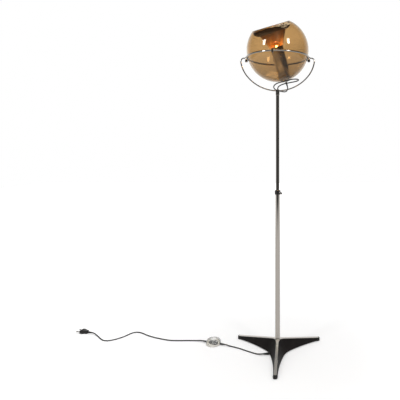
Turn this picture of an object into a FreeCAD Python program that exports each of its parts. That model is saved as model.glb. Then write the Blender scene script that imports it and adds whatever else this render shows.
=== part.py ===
import FreeCAD, Part
import math
import os

# Floor lamp: an open glass globe resting in a ring, carried by a wire yoke on a telescopic
# stem, on a three-armed base with steel ridges. Millimetres, +Z up, +X right, -Y to the
# front. The origin is on the floor, on the stem's axis.

# ---------------------------------------------------------------- driving dimensions
# General clearances
RUN_FIT = 0.05          # radial clearance of a shaft that turns or slides
BODY_GAP = 0.3          # clearance between pieces that move past each other
SEAT_GAP = 0.05         # clearance of a piece that is fixed in its seat

# Base
LEG_R = 200.5           # foot tips, from the stem's axis
LEG_TURN = -2.6         # the front leg's turn from straight forward, degrees
LEG_COUNT = 3
HUB_Z = 52.5            # top of the ridge on the stem's axis
TIP_Z = 12.5            # top of the ridge, carried on to the tips
CAST_LOW = 3.0          # lower edge of the casting
CAST_END = 184.0        # end of the casting along a leg
CAST_WALL = 4.2
RIDGE_HALF = 5.25       # half the width of the steel ridge
RIDGE_T = 2.0
RIDGE_END = 196.0
RIDGE_FILLET = 45.0     # between two ridges, in plan
WAIST_R = 41.6          # the casting's narrowest radius, midway between two legs
WAIST_ROUND = 95.0      # radius of the concave flank at the waist
FOOT_HALF = 8.6         # half the leg's width at its end
FOOT_TONGUE = 16.0      # part of a foot that sits in the hollow leg
BOSS_R = 17.0
BOSS_LOW = 30.0
NUT_AF = 30.0
NUT_H = 5.5
WASHER_R = 15.8
WASHER_T = 1.5

# Stem
LOWER_R = 9.5
LOWER_WALL = 1.2
LOWER_LOW = 21.5
COLLAR_LOW = 630.5
COLLAR_H = 17.5
COLLAR_R = 12.5
COLLAR_LIP = 4.0        # depth of the collar above the lower tube's end
LINER_LEN = 50.0        # nylon liner at the mouth of the lower tube
UPPER_R = 7.0
UPPER_WALL = 1.2
UPPER_LOW = 430.0
SLIDER_LEN = 34.0       # nylon slider near the foot of the upper tube
FERRULE_R = 8.0
FERRULE_LOW = 1030.0
FERRULE_TOP = 1053.0
FERRULE_SEAT = 14.0     # depth over which it grips the upper tube
FERRULE_BORE = 4.0
KNOB_R = 4.6            # collar thumb screw
KNOB_LEN = 7.5
KNOB_Z = 636.0
KNOB_TURN = 50.0        # to the right of straight forward, degrees
KNOB_SHANK = 2.0

# Yoke
RING_Z = 1180.0         # level of the ring and of its pivots
YOKE_WIRE = 2.5
YOKE_LOW_R = 158.5
YOKE_LOW_Z = 1207.0     # centre of the lower arc
YOKE_SPLIT = 50.0       # where the lower arc meets the side arc, degrees from straight down
YOKE_SIDE_R = 120.0
YOKE_BEND_R = 13.0

# Ring
RING_R = 125.0
RING_WIRE = 3.25
BARREL_R = 5.5
BARREL_X = 126.0
BARREL_UP = 4.5
BARREL_DOWN = 5.5
RING_STOP = 2.6         # half the space between two ring rods at a pivot
PIVOT_SCREW_R = 5.4
PIVOT_SCREW_H = 8.5
PIVOT_SHANK = 2.0
CLAMP_TURN = 9.1        # to the left of the ring's front, degrees
LUG_T = 1.8
LUG_GAP = 0.6
LUG_H = 19.0
LUG_DEPTH = 8.0
CLAMP_SCREW_R = 1.5
CLAMP_HEAD_R = 2.7
CLAMP_OFF = 6.4         # clamp screws, above and below the rod, tapped into the left lug

# Globe, in its own frame: centre at the origin, mouth at the top
GLOBE_R = 125.0
GLASS = 2.6
MOUTH_R = 75.3
LEAN_LEFT = 16.5        # lean of the globe's axis, degrees
LEAN_FRONT = 17.5
HOLE_R = 12.0
GASKET_T = 1.0
GASKET_IN = 13.0
GASKET_OUT = 21.0
DISC_T = 2.0
DISC_R = 23.0
GLAND_R = 7.0
GLAND_H = 3.0
RELIEF_LEN = 20.0
RELIEF_R = 3.6
NIPPLE_R = 5.0
NIPPLE_BORE = 3.4
NIPPLE_NUT = 14.0
TUBE_R = 27.0
TUBE_WALL = 1.2
TUBE_TOP = 17.0
HOLDER_R = 18.5
HOLDER_LOW = -52.0
HOLDER_TOP = -12.0
CAP_R = 13.1            # lamp cap
BULB_R = 22.5
BULB_Z = 18.0
REFLECTOR_T = 0.8
REFLECTOR_SLEEVE = 14.0     # part of it inside the tube
SLEEVE_GAP = 0.2            # between it and the tube, whose rolled rim stands inwards
REFLECTOR_TURN = -4.5       # the middle of its wall, from straight back, degrees
REFLECTOR_WAIST = (53.0, 72.0)      # radius and height where the cone meets the shoulder
REFLECTOR_SHOULDER = (69.0, 77.5)   # a point on the shoulder's arc
REFLECTOR_BAND = (76.5, 85.0)       # and where the shoulder meets the upright band
REFLECTOR_TOP = (73.4, 96.0)
CONE_INSET = 1.2            # the slanted wall's inset at the waist, in thicknesses
THROAT_RISE = 1.4           # and its rise at the throat
SHOULDER_RISE = 0.6         # and at the shoulder

# Cords
CORD_R = 2.25
FLOOR_LIE = 0.05        # under a cord that lies on the floor
OWN_STEP = 3.0          # spacing of the points that a cord's gap to itself is measured at
OWN_REACH = 27.0        # stretches further apart than this along a cord count as separate

# Foot switch
SWITCH_X = -268.0
SWITCH_Y = 56.0
SWITCH_R = 30.0
SWITCH_TURN = 162.0     # direction of the cord through it, degrees from +X
SWITCH_BASE_H = 9.0
SWITCH_H = 20.0
SWITCH_WALL = 2.0
SWITCH_EXIT_Z = 5.5
BUTTON_R = 11.0
BUTTON_TRAVEL = 3.0
BUTTON_PROUD = 2.0

# Plug
PLUG_LEN = 35.0
PLUG_W = 25.5
PLUG_REAR_W = 14.0
PLUG_T = 13.6
PIN_R = 2.0
PIN_LEN = 19.0
PIN_SPACE = 19.0

Z = FreeCAD.Vector(0, 0, 1)


def V(x, y, z=0.0):
    return FreeCAD.Vector(x, y, z)


def polar(radius, degrees, z=0.0):
    a = math.radians(degrees)
    return V(radius * math.cos(a), radius * math.sin(a), z)


def unit(v):
    return v * (1.0 / v.Length)


def cyl(radius, low, high, at=V(0, 0)):
    return Part.makeCylinder(radius, high - low, V(at.x, at.y, low))


def pipe(outer, inner, low, high, at=V(0, 0)):
    return cyl(outer, low, high, at).cut(cyl(inner, low - 1, high + 1, at))


def rod_between(a, b, radius):
    return Part.makeCylinder(radius, (b - a).Length, a, unit(b - a))


def cone_between(a, b, r1, r2):
    return Part.makeCone(r1, r2, (b - a).Length, a, unit(b - a))


def line(a, b):
    return Part.LineSegment(a, b).toShape()


def arc(a, m, b):
    return Part.Arc(a, m, b).toShape()


def lathe(edges):
    """Turns a closed outline in the XZ plane about the Z axis."""
    face = Part.Face(Part.Wire(edges))
    return face.revolve(V(0, 0), Z, 360)


def turned(points):
    """A turned piece from its (radius, height) corners."""
    pts = [V(r, 0, z) for r, z in points]
    return lathe([line(a, b) for a, b in zip(pts, pts[1:] + pts[:1])])


def hexagon(across_flats, low, high):
    r = across_flats / 2 / math.cos(math.radians(30))
    pts = [polar(r, 60 * i, low) for i in range(6)]
    face = Part.Face(Part.makePolygon(pts + pts[:1]))
    return face.extrude(V(0, 0, high - low))


def knurled(radius, low, high, teeth, depth=0.5, chamfer=0.8):
    """A knurled head on the Z axis: a turned disc with shallow grooves round it."""
    head = turned([(0, low), (radius - chamfer, low), (radius, low + chamfer),
                   (radius, high - chamfer), (radius - chamfer, high), (0, high)])
    groove = cyl(depth, low - 1, high + 1, V(radius + depth * 0.3, 0))
    cuts = []
    for i in range(teeth):
        g = groove.copy()
        g.rotate(V(0, 0), Z, 360.0 / teeth * i)
        cuts.append(g)
    return head.cut(Part.makeCompound(cuts))


def sweep(edges, radius):
    """A round bar along a smooth chain of edges."""
    path = Part.Wire(edges)
    first = edges[0]
    start = first.valueAt(first.FirstParameter)
    out = first.tangentAt(first.FirstParameter)
    ring = Part.Wire([Part.Circle(start, out, radius).toShape()])
    return path.makePipeShell([ring], True, False)


def own_gap(edges):
    """The least gap between separate stretches of one cord."""
    points = []
    along = 0.0
    for edge in edges:
        count = max(2, int(edge.Length / OWN_STEP))
        span = edge.LastParameter - edge.FirstParameter
        for i in range(count):
            place = edge.valueAt(edge.FirstParameter + span * i / count)
            points.append((along + edge.Length * i / count, place))
        along += edge.Length
    return min((q - p).Length for a, p in points for b, q in points
               if b - a > OWN_REACH) - 2 * CORD_R


def cord(name, points):
    """A cord along straight runs joined by tangent arcs, with its bend radii printed."""
    edges = []
    radii = []
    here = points[0]
    for before, corner, after in zip(points, points[1:], points[2:]):
        d1 = unit(corner - before)
        d2 = unit(after - corner)
        half = math.acos(max(-1.0, min(1.0, d1.dot(d2)))) / 2
        reach = 0.45 * min((corner - before).Length, (after - corner).Length)
        r = reach / math.tan(half)
        inward = unit(d2 - d1)
        start = corner - d1 * reach
        end = corner + d2 * reach
        middle = corner + inward * (r / math.cos(half) - r)
        edges.append(line(here, start))
        edges.append(arc(start, middle, end))
        radii.append(r)
        here = end
    edges.append(line(here, points[-1]))
    solid = sweep(edges, CORD_R)
    length = sum(e.Length for e in edges)
    ratio = solid.Volume / (math.pi * CORD_R ** 2 * length)
    runs = [(b - a).Length for a, b in zip(points, points[1:])]
    print(name, "length %.1f" % length, "volume/section %.4f" % ratio,
          "least radius %.1f" % min(radii), "longest run %.1f" % max(runs),
          "least gap to itself %.1f" % own_gap(edges))
    print("  radii", " ".join("%.0f" % r for r in radii))
    return solid


# ---------------------------------------------------------------- base
RIDGE_SLOPE = (HUB_Z - TIP_Z) / LEG_R


def ridge_z(along):
    return HUB_Z - RIDGE_SLOPE * along


def leg_turn(index):
    return -90 + LEG_TURN + 360.0 / LEG_COUNT * index


def flank_foot(waist, round_r, end, half):
    """Foot of one flank in plan: the ends and middles of its two tangent arcs."""
    c60 = math.cos(math.radians(60))
    s60 = math.sin(math.radians(60))
    ca = V((waist + round_r) * c60, (waist + round_r) * s60)
    turn = 2 * math.atan((ca.y - round_r - half) / (end - ca.x))

    def on_a(angle):
        return V(ca.x - round_r * math.sin(angle), ca.y - round_r * math.cos(angle))

    long_r = (end - on_a(turn).x) / math.sin(turn)
    cb = V(end, half + long_r)

    def on_b(angle):
        return V(cb.x - long_r * math.sin(angle), cb.y - long_r * math.cos(angle))

    full = math.radians(30)
    return (on_a(full), on_a((full + turn) / 2), on_a(turn),
            on_b(turn / 2), on_b(0.0))


def ridge_edge(half, fillet):
    """Ridge edge in plan near the hub: the fillet's ends and middle."""
    s60 = math.sin(math.radians(60))
    c60 = math.cos(math.radians(60))
    reach = (half + fillet) / s60
    centre = V(reach * c60, reach * s60)
    start = V((reach - fillet) * c60, (reach - fillet) * s60)
    middle = V(centre.x - fillet * math.sin(math.radians(15)),
               centre.y - fillet * math.cos(math.radians(15)))
    return start, middle, V(centre.x, half)


def star(half, fillet, waist, round_r, end, foot_half, drop, low):
    """A solid with three sloping ridges, whose flanks run down to a concave outline."""
    def top(p):
        return V(p.x, p.y, ridge_z(p.x) - drop)

    def foot(p):
        return V(p.x, p.y, low)

    w, wm, j, jm, e = [foot(p) for p in flank_foot(waist, round_r, end, foot_half)]
    s, sm, t = [top(p) for p in ridge_edge(half, fillet)]
    tip = top(V(end, half))
    hub = V(0, 0, HUB_Z - drop)
    faces = []
    outline = []
    for k in range(LEG_COUNT):
        for side in (1, -1):
            def m(p):
                return V(p.x, side * p.y, p.z)
            low_a = arc(m(w), m(wm), m(j))
            low_b = arc(m(j), m(jm), m(e))
            top_a = arc(m(s), m(sm), m(t))
            top_b = line(m(t), m(tip))
            part = [Part.makeRuledSurface(low_a, top_a), Part.makeRuledSurface(low_b, top_b)]
            edge = [low_a, low_b]
            if side == 1:
                upper = [line(hub, s), top_a, top_b]
                under = [line(m(e), V(e.x, -e.y, e.z))]
                edge = edge + under
                end_face = Part.Face(Part.makePolygon([e, V(e.x, -e.y, e.z),
                                                       V(tip.x, -tip.y, tip.z), tip, e]))
                part.append(end_face)
            else:
                upper = upper + [line(tip, m(tip)), top_b, top_a, line(m(s), hub)]
                part.append(Part.Face(Part.Wire(Part.__sortEdges__(upper))))
            for item in part:
                item.rotate(V(0, 0), Z, leg_turn(k))
                faces.append(item)
            for item in edge:
                item.rotate(V(0, 0), Z, leg_turn(k))
                outline.append(item)
    faces.append(Part.Face(Part.Wire(Part.__sortEdges__(outline))))
    shell = Part.makeShell(faces)
    shell.sewShape()
    solid = Part.makeSolid(Part.Shell(shell.Faces))
    if solid.Volume < 0:
        solid.reverse()
    return solid


def leg_point(along, across, k, z=0.0):
    a = math.radians(leg_turn(k))
    return V(along * math.cos(a) - across * math.sin(a),
             along * math.sin(a) + across * math.cos(a), z)


def ridge_plate():
    """The steel cover of the ridges: three flat bars that meet at the hub with fillets."""
    s, sm, t = ridge_edge(RIDGE_HALF, RIDGE_FILLET)
    bars = []
    for k in range(LEG_COUNT):
        def top(p):
            return V(p.x, p.y, ridge_z(p.x) - RIDGE_T)

        def flip(p):
            return V(p.x, -p.y, p.z)
        corner = top(V(RIDGE_END - 2, RIDGE_HALF))
        nose = top(V(RIDGE_END, 0))
        a, am, b = top(s), top(sm), top(t)
        hub = V(0, 0, HUB_Z - RIDGE_T)
        wire = Part.Wire([line(hub, a), arc(a, am, b), line(b, corner),
                          arc(corner, nose, flip(corner)), line(flip(corner), flip(b)),
                          arc(flip(b), flip(am), flip(a)), line(flip(a), hub)])
        bar = Part.Face(wire).extrude(V(0, 0, RIDGE_T))
        bar.rotate(V(0, 0), Z, leg_turn(k))
        bars.append(bar)
    plate = bars[0].fuse(bars[1:]).removeSplitter()
    return plate.cut(cyl(LOWER_R + SEAT_GAP, 0, HUB_Z + 5))


def foot(k):
    """The moulded end of a leg: a rounded nose with a tongue in the hollow casting."""
    def outline(half, z_of):
        mid = LEG_R - half
        pts = [(CAST_END, -half), (mid, -half), (LEG_R, 0), (mid, half), (CAST_END, half)]
        p = [V(x, y, z_of(x)) for x, y in pts]
        return Part.Wire([line(p[0], p[1]), arc(p[1], p[2], p[3]),
                          line(p[3], p[4]), line(p[4], p[0])])

    low = outline(FOOT_HALF, lambda x: 0.0)
    high = outline(RIDGE_HALF, lambda x: ridge_z(x) - RIDGE_T)
    nose = Part.makeLoft([low, high], True, True)
    height = ridge_z(CAST_END) - RIDGE_T - CAST_WALL - 1.5
    tongue = Part.makeBox(FOOT_TONGUE + 1, 4.4, height, V(CAST_END - FOOT_TONGUE, -2.2, 0))
    piece = nose.fuse(tongue).removeSplitter()
    piece.rotate(V(0, 0), Z, leg_turn(k))
    return piece


# The floor cord leaves the hollow base through the front left flank
EXIT = V(-32, -31.6, 5.2)
EXIT_DIR = unit(V(-1, -0.12, 0))
EXIT_R = 4.4


def casting():
    outer = star(RIDGE_HALF, RIDGE_FILLET, WAIST_R, WAIST_ROUND, CAST_END, FOOT_HALF,
                 RIDGE_T, CAST_LOW)
    inner = star(RIDGE_HALF - CAST_WALL + 1.2, RIDGE_FILLET, WAIST_R - CAST_WALL, WAIST_ROUND,
                 CAST_END + 4, FOOT_HALF - CAST_WALL, RIDGE_T + CAST_WALL, CAST_LOW - 2)
    hollow = inner.cut(cyl(BOSS_R, BOSS_LOW, HUB_Z))
    body = outer.cut(hollow)
    body = body.cut(cyl(LOWER_R + SEAT_GAP, 0, HUB_Z + 5))
    notch = rod_between(EXIT - EXIT_DIR * 12, EXIT + EXIT_DIR * 16, EXIT_R + SEAT_GAP)
    slot = Part.makeBox(28, 2 * (EXIT_R + SEAT_GAP), EXIT.z, V(-12, -EXIT_R - SEAT_GAP, 0))
    slot.rotate(V(0, 0), Z, math.degrees(math.atan2(EXIT_DIR.y, EXIT_DIR.x)))
    slot.translate(V(EXIT.x, EXIT.y, 0))
    return body.cut(notch.fuse(slot))


# ---------------------------------------------------------------- stem
def lower_tube():
    top = COLLAR_LOW + COLLAR_H - COLLAR_LIP
    tube = pipe(LOWER_R, LOWER_R - LOWER_WALL, LOWER_LOW, top)
    return tube.cut(knob_hole())


def knob_hole():
    way = polar(1, -90 + KNOB_TURN)
    start = way * (UPPER_R + 0.2) + V(0, 0, KNOB_Z)
    return rod_between(start, start + way * 20, KNOB_SHANK + SEAT_GAP)


def stem_liner():
    top = COLLAR_LOW + COLLAR_H - COLLAR_LIP
    sleeve = pipe(LOWER_R - LOWER_WALL, UPPER_R + RUN_FIT, top - LINER_LEN, top)
    return sleeve.cut(knob_hole())


def collar():
    top = COLLAR_LOW + COLLAR_H
    ledge = top - COLLAR_LIP
    body = turned([(LOWER_R, COLLAR_LOW), (COLLAR_R - 0.8, COLLAR_LOW),
                   (COLLAR_R, COLLAR_LOW + 0.8), (COLLAR_R, top - 1.5),
                   (COLLAR_R - 1.5, top), (UPPER_R + BODY_GAP, top),
                   (UPPER_R + BODY_GAP, ledge), (LOWER_R, ledge)])
    return body.cut(knob_hole())


def collar_screw():
    """Knurled thumb screw through the collar, its tip just clear of the upper tube."""
    screw = knurled(KNOB_R, COLLAR_R + 1.5, COLLAR_R + 1.5 + KNOB_LEN, 18)
    screw = screw.fuse(cyl(KNOB_SHANK, UPPER_R + BODY_GAP, COLLAR_R + 2))
    screw.rotate(V(0, 0), V(0, 1, 0), 90)
    screw.rotate(V(0, 0), Z, -90 + KNOB_TURN)
    screw.translate(V(0, 0, KNOB_Z))
    return screw


SLIDER_R = LOWER_R - LOWER_WALL - RUN_FIT
SLIDER_LOW = UPPER_LOW + BODY_GAP


def slider():
    return pipe(SLIDER_R, UPPER_R + RUN_FIT, SLIDER_LOW, SLIDER_LOW + SLIDER_LEN)


def upper_tube():
    return pipe(UPPER_R, UPPER_R - UPPER_WALL, UPPER_LOW, FERRULE_LOW + FERRULE_SEAT)


def tube_end():
    """Steel end piece in the foot of the upper tube, with the flange under the slider."""
    r = SLIDER_R - 0.5
    return turned([(3.0, UPPER_LOW - 2), (r, UPPER_LOW - 2), (r, UPPER_LOW),
                   (UPPER_R, UPPER_LOW), (UPPER_R - UPPER_WALL, UPPER_LOW),
                   (UPPER_R - UPPER_WALL, UPPER_LOW + 15), (3.0, UPPER_LOW + 15)])


def slider_ring():
    """Retaining ring on the upper tube, above the slider."""
    low = SLIDER_LOW + SLIDER_LEN + BODY_GAP
    return pipe(SLIDER_R - 0.5, UPPER_R, low, low + 2.0)


def ferrule():
    seat = FERRULE_LOW + FERRULE_SEAT
    body = turned([(UPPER_R, FERRULE_LOW), (FERRULE_R - 0.4, FERRULE_LOW),
                   (FERRULE_R, FERRULE_LOW + 0.8), (FERRULE_R, FERRULE_TOP - 1.5),
                   (FERRULE_R - 1.5, FERRULE_TOP), (FERRULE_BORE, FERRULE_TOP),
                   (FERRULE_BORE, seat), (UPPER_R, seat)])
    return body.cut(yoke(1)).cut(yoke(-1))


def ferrule_bush():
    """Rubber bush in the ferrule's bore, where the cord goes into the stem."""
    seat = FERRULE_LOW + FERRULE_SEAT
    return turned([(CORD_R + 0.05, seat), (FERRULE_BORE, seat),
                   (FERRULE_BORE, FERRULE_TOP), (FERRULE_BORE + 1.2, FERRULE_TOP),
                   (FERRULE_BORE + 0.6, FERRULE_TOP + 1.2), (CORD_R + 0.05, FERRULE_TOP + 1.2)])


# ---------------------------------------------------------------- yoke
def yoke(side):
    """One arm: it is let into the ferrule's side and ends in the horizontal pivot pin."""
    def p(x, z):
        return V(side * x, 0, z)

    def on_low(deg):
        a = math.radians(deg)
        return p(YOKE_LOW_R * math.sin(a), YOKE_LOW_Z - YOKE_LOW_R * math.cos(a))

    inset = math.degrees(math.asin((FERRULE_BORE + 0.3) / YOKE_LOW_R))
    split = math.radians(YOKE_SPLIT)
    cx = (YOKE_LOW_R - YOKE_SIDE_R) * math.sin(split)
    cz = YOKE_LOW_Z - (YOKE_LOW_R - YOKE_SIDE_R) * math.cos(split)
    bend_z = RING_Z - YOKE_BEND_R
    lean = math.asin((bend_z - cz) / (YOKE_SIDE_R - YOKE_BEND_R))
    bend_x = cx + (YOKE_SIDE_R - YOKE_BEND_R) * math.cos(lean)
    low = split - math.radians(90)

    def on_side(a):
        return p(cx + YOKE_SIDE_R * math.cos(a), cz + YOKE_SIDE_R * math.sin(a))

    def on_bend(a):
        return p(bend_x + YOKE_BEND_R * math.cos(a), bend_z + YOKE_BEND_R * math.sin(a))

    quarter = math.radians(90)
    edges = [arc(on_low(inset), on_low((inset + YOKE_SPLIT) / 2), on_low(YOKE_SPLIT)),
             arc(on_low(YOKE_SPLIT), on_side((low + lean) / 2), on_side(lean)),
             arc(on_side(lean), on_bend((lean + quarter) / 2), on_bend(quarter)),
             line(on_bend(quarter), p(BARREL_X - 0.5, RING_Z))]
    return sweep(edges, YOKE_WIRE)


# ---------------------------------------------------------------- ring
def ring_arc(start, end):
    """A piece of the ring's rod between two directions, degrees from +X."""
    face = Part.Face(Part.Wire([Part.Circle(V(RING_R, 0, RING_Z), V(0, 1, 0),
                                            RING_WIRE).toShape()]))
    face.rotate(V(0, 0), Z, start)
    return face.revolve(V(0, 0), Z, end - start)


STOP_TURN = math.degrees(math.asin(RING_STOP / RING_R))
CLAMP_AT = -90 - CLAMP_TURN
LUG_TURN = math.degrees((LUG_GAP / 2 + LUG_T + SEAT_GAP) / RING_R)


def barrel(side):
    """Pivot barrel: bored from outside for the yoke's pin and from below for its screw."""
    at = V(side * BARREL_X, 0)
    top = RING_Z + BARREL_UP
    low = RING_Z - BARREL_DOWN
    body = turned([(0, low), (BARREL_R, low), (BARREL_R, top - 1), (BARREL_R - 1, top),
                   (0, top)])
    body.translate(at)
    # flat on the inner side, clear of the glass
    flat = math.sqrt(GLOBE_R ** 2 - (GLOBE_Z - top) ** 2) + 0.6
    block = Part.makeBox(30, 30, 30, V(flat - 30, -15, low - 5))
    if side < 0:
        block.rotate(V(0, 0), Z, 180)
    body = body.cut(block)
    bore = rod_between(V(side * (BARREL_X - 0.9), 0, RING_Z), V(side * (BARREL_X + 20), 0, RING_Z),
                       YOKE_WIRE + RUN_FIT)
    thread = cyl(PIVOT_SHANK + RUN_FIT, low - 1, RING_Z, at)
    return body.cut(bore).cut(thread)


def pivot_screw(side):
    """Knurled screw under a pivot; its tip holds the yoke's pin."""
    low = RING_Z - BARREL_DOWN
    head = knurled(PIVOT_SCREW_R, low - 1.5 - PIVOT_SCREW_H, low - 1.5, 20)
    shank = cyl(PIVOT_SHANK, low - 2, RING_Z - YOKE_WIRE - BODY_GAP)
    screw = head.fuse(shank)
    screw.translate(V(side * BARREL_X, 0))
    return screw


def clamp_frame(shape):
    """From a frame with +X across the lugs and the rod at the origin to the ring's front."""
    shape.translate(V(0, -RING_R, RING_Z))
    shape.rotate(V(0, 0), Z, -CLAMP_TURN)
    return shape


LUG_IN = -1.3           # inner edge of the lugs, from the rod's centre towards the glass


def lug(side):
    half = LUG_DEPTH / 2
    mid = -LUG_IN - half
    top = LUG_H / 2 - half
    start = V(0, mid - half, top)
    a = [V(0, mid - half, -top), V(0, mid, -top - half), V(0, mid + half, -top)]
    b = [V(0, mid + half, top), V(0, mid, top + half), V(0, mid - half, top)]
    wire = Part.Wire([line(start, a[0]), arc(a[0], a[1], a[2]), line(a[2], b[0]),
                      arc(b[0], b[1], b[2])])
    plate = Part.Face(wire).extrude(V(side * LUG_T, 0, 0))
    plate.translate(V(side * LUG_GAP / 2, 0, 0))
    for up in (1, -1):
        hole = rod_between(V(-5, mid, up * CLAMP_OFF), V(5, mid, up * CLAMP_OFF),
                           CLAMP_SCREW_R + RUN_FIT)
        plate = plate.cut(hole)
    return clamp_frame(plate)


def clamp_screw(up):
    mid = -LUG_IN - LUG_DEPTH / 2
    face = LUG_GAP / 2 + LUG_T
    head = turned([(0, 0), (CLAMP_HEAD_R, 0), (CLAMP_HEAD_R, 1.4), (CLAMP_HEAD_R - 0.8, 2.2),
                   (0, 2.2)])
    shank = cyl(CLAMP_SCREW_R, -2 * face - 0.8, 0.5)
    slot = Part.makeBox(6, 0.7, 1.5, V(-3, -0.35, 1.3))
    screw = head.fuse(shank).cut(slot)
    screw.rotate(V(0, 0), V(0, 1, 0), 90)
    screw.translate(V(face, mid, up * CLAMP_OFF))
    return clamp_frame(screw)


# ---------------------------------------------------------------- globe
# The globe rests on the ring's rod: its centre stands above the ring by this much
GLOBE_RISE = math.sqrt((GLOBE_R + BODY_GAP + RING_WIRE) ** 2 - RING_R ** 2)
GLOBE_Z = RING_Z + GLOBE_RISE
LEAN = FreeCAD.Rotation(V(0, 1, 0), -LEAN_LEFT).multiply(
    FreeCAD.Rotation(V(1, 0, 0), LEAN_FRONT))
GLOBE_INNER = GLOBE_R - GLASS


def in_globe(shape):
    """Moves a piece from the globe's own frame to its place, leaning in the ring."""
    out = shape.copy()
    out.Placement = FreeCAD.Placement(V(0, 0, GLOBE_Z), LEAN).multiply(out.Placement)
    return out


def globe_point(z):
    return V(0, 0, GLOBE_Z) + LEAN.multVec(V(0, 0, z))


def ball_layer(inner, outer, r_in, r_out):
    """A dished ring at the globe's foot between two spheres and two radii."""
    def low(radius, r):
        return V(r, 0, -math.sqrt(radius ** 2 - r ** 2))

    def mid(radius):
        return low(radius, (r_in + r_out) / 2)

    a, b = low(outer, r_in), low(outer, r_out)
    c, d = low(inner, r_out), low(inner, r_in)
    return lathe([arc(a, mid(outer), b), line(b, c), arc(c, mid(inner), d), line(d, a)])


def globe_glass():
    """An open glass ball with a fire-polished mouth and a hole for the fitting."""
    mouth = math.asin(MOUTH_R / GLOBE_R)

    def at(radius, a):
        return V(radius * math.sin(a), 0, radius * math.cos(a))

    middle = (GLOBE_R + GLOBE_INNER) / 2
    lip = at(middle, mouth) + V(-math.cos(mouth), 0, math.sin(mouth)) * (GLASS / 2)
    low_out = math.pi - math.asin(HOLE_R / GLOBE_R)
    low_in = math.pi - math.asin(HOLE_R / GLOBE_INNER)
    return lathe([
        arc(at(GLOBE_R, mouth), at(GLOBE_R, (mouth + low_out) / 2), at(GLOBE_R, low_out)),
        line(at(GLOBE_R, low_out), at(GLOBE_INNER, low_in)),
        arc(at(GLOBE_INNER, low_in), at(GLOBE_INNER, (mouth + low_in) / 2),
            at(GLOBE_INNER, mouth)),
        arc(at(GLOBE_INNER, mouth), lip, at(GLOBE_R, mouth))])


def sphere_low(radius, r):
    return -math.sqrt(radius ** 2 - r ** 2)


SEAT_R = GLOBE_INNER - GASKET_T      # sphere that the lamp tube's foot rests on
DISH_R = SEAT_R - DISC_T
UNDER_R = GLOBE_R + GASKET_T + DISC_T
CAP_LOW = HOLDER_LOW + 14.0
CAP_TOP = CAP_LOW + 27.0
GLAND_TOP = sphere_low(UNDER_R, NIPPLE_R)
GLAND_LOW = -UNDER_R - GLAND_H
RELIEF_LOW = GLAND_LOW - RELIEF_LEN


def tube_foot():
    return ball_layer(DISH_R, SEAT_R, NIPPLE_R + SEAT_GAP, TUBE_R - TUBE_WALL)


def lamp_tube():
    """The inner tube, open at the top with a rolled rim, closed below by its foot."""
    low = sphere_low(SEAT_R, TUBE_R)
    inner = TUBE_R - TUBE_WALL
    low_in = sphere_low(SEAT_R, inner)
    rim = TUBE_WALL * 0.9
    body = lathe([arc(V(inner, 0, low_in), V(inner + 0.6, 0, sphere_low(SEAT_R, inner + 0.6)),
                      V(TUBE_R, 0, low)),
                  line(V(TUBE_R, 0, low), V(TUBE_R, 0, TUBE_TOP - rim)),
                  arc(V(TUBE_R, 0, TUBE_TOP - rim),
                      V(TUBE_R - TUBE_WALL / 2, 0, TUBE_TOP),
                      V(inner, 0, TUBE_TOP - rim)),
                  line(V(inner, 0, TUBE_TOP - rim), V(inner, 0, low_in))])
    return body


def reflector():
    """A half-round reflector behind the bulb: sleeve, cone, shoulder and upright band."""
    t = REFLECTOR_T
    sleeve = TUBE_R - TUBE_WALL - SLEEVE_GAP - t
    throat = TUBE_TOP + SEAT_GAP

    def at(pair, inset=0.0):
        return V(pair[0] - inset, 0, pair[1])

    outer = [V(sleeve + t, 0, TUBE_TOP - REFLECTOR_SLEEVE), V(sleeve + t, 0, throat),
             V(TUBE_R, 0, throat), at(REFLECTOR_WAIST)]
    inner = [at(REFLECTOR_TOP, t), at(REFLECTOR_BAND, t)]
    closing = [at(REFLECTOR_WAIST, t * CONE_INSET), V(TUBE_R - t, 0, throat + t * THROAT_RISE),
               V(sleeve, 0, throat), V(sleeve, 0, TUBE_TOP - REFLECTOR_SLEEVE)]
    edges = [line(a, b) for a, b in zip(outer, outer[1:])]
    edges.append(arc(outer[-1], at(REFLECTOR_SHOULDER), at(REFLECTOR_BAND)))
    edges.append(line(at(REFLECTOR_BAND), at(REFLECTOR_TOP)))
    edges.append(line(at(REFLECTOR_TOP), inner[0]))
    edges.append(line(inner[0], inner[1]))
    edges.append(arc(inner[1], at(REFLECTOR_SHOULDER, t) + V(0, 0, t * SHOULDER_RISE), closing[0]))
    edges += [line(a, b) for a, b in zip(closing, closing[1:] + outer[:1])]
    face = Part.Face(Part.Wire(edges))
    face.rotate(V(0, 0), Z, REFLECTOR_TURN)
    return face.revolve(V(0, 0), Z, 180)


def gland():
    return turned([(NIPPLE_R, GLAND_TOP), (NIPPLE_R, -UNDER_R), (0, -UNDER_R),
                   (0, GLAND_LOW), (GLAND_R - 1, GLAND_LOW), (GLAND_R, GLAND_LOW + 1),
                   (GLAND_R, GLAND_TOP)])


def relief(a, b):
    """A tapered strain relief from a housing to the cord that leaves it."""
    return cone_between(a, b, RELIEF_R, CORD_R + 0.35)


def nipple():
    return pipe(NIPPLE_R, NIPPLE_BORE, -UNDER_R, HOLDER_LOW + 3)


def nipple_nut():
    low = sphere_low(DISH_R, NIPPLE_NUT / math.sqrt(3))
    return hexagon(NIPPLE_NUT, low, low + 4.0).cut(cyl(NIPPLE_R + SEAT_GAP, low - 1, low + 5))


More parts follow.
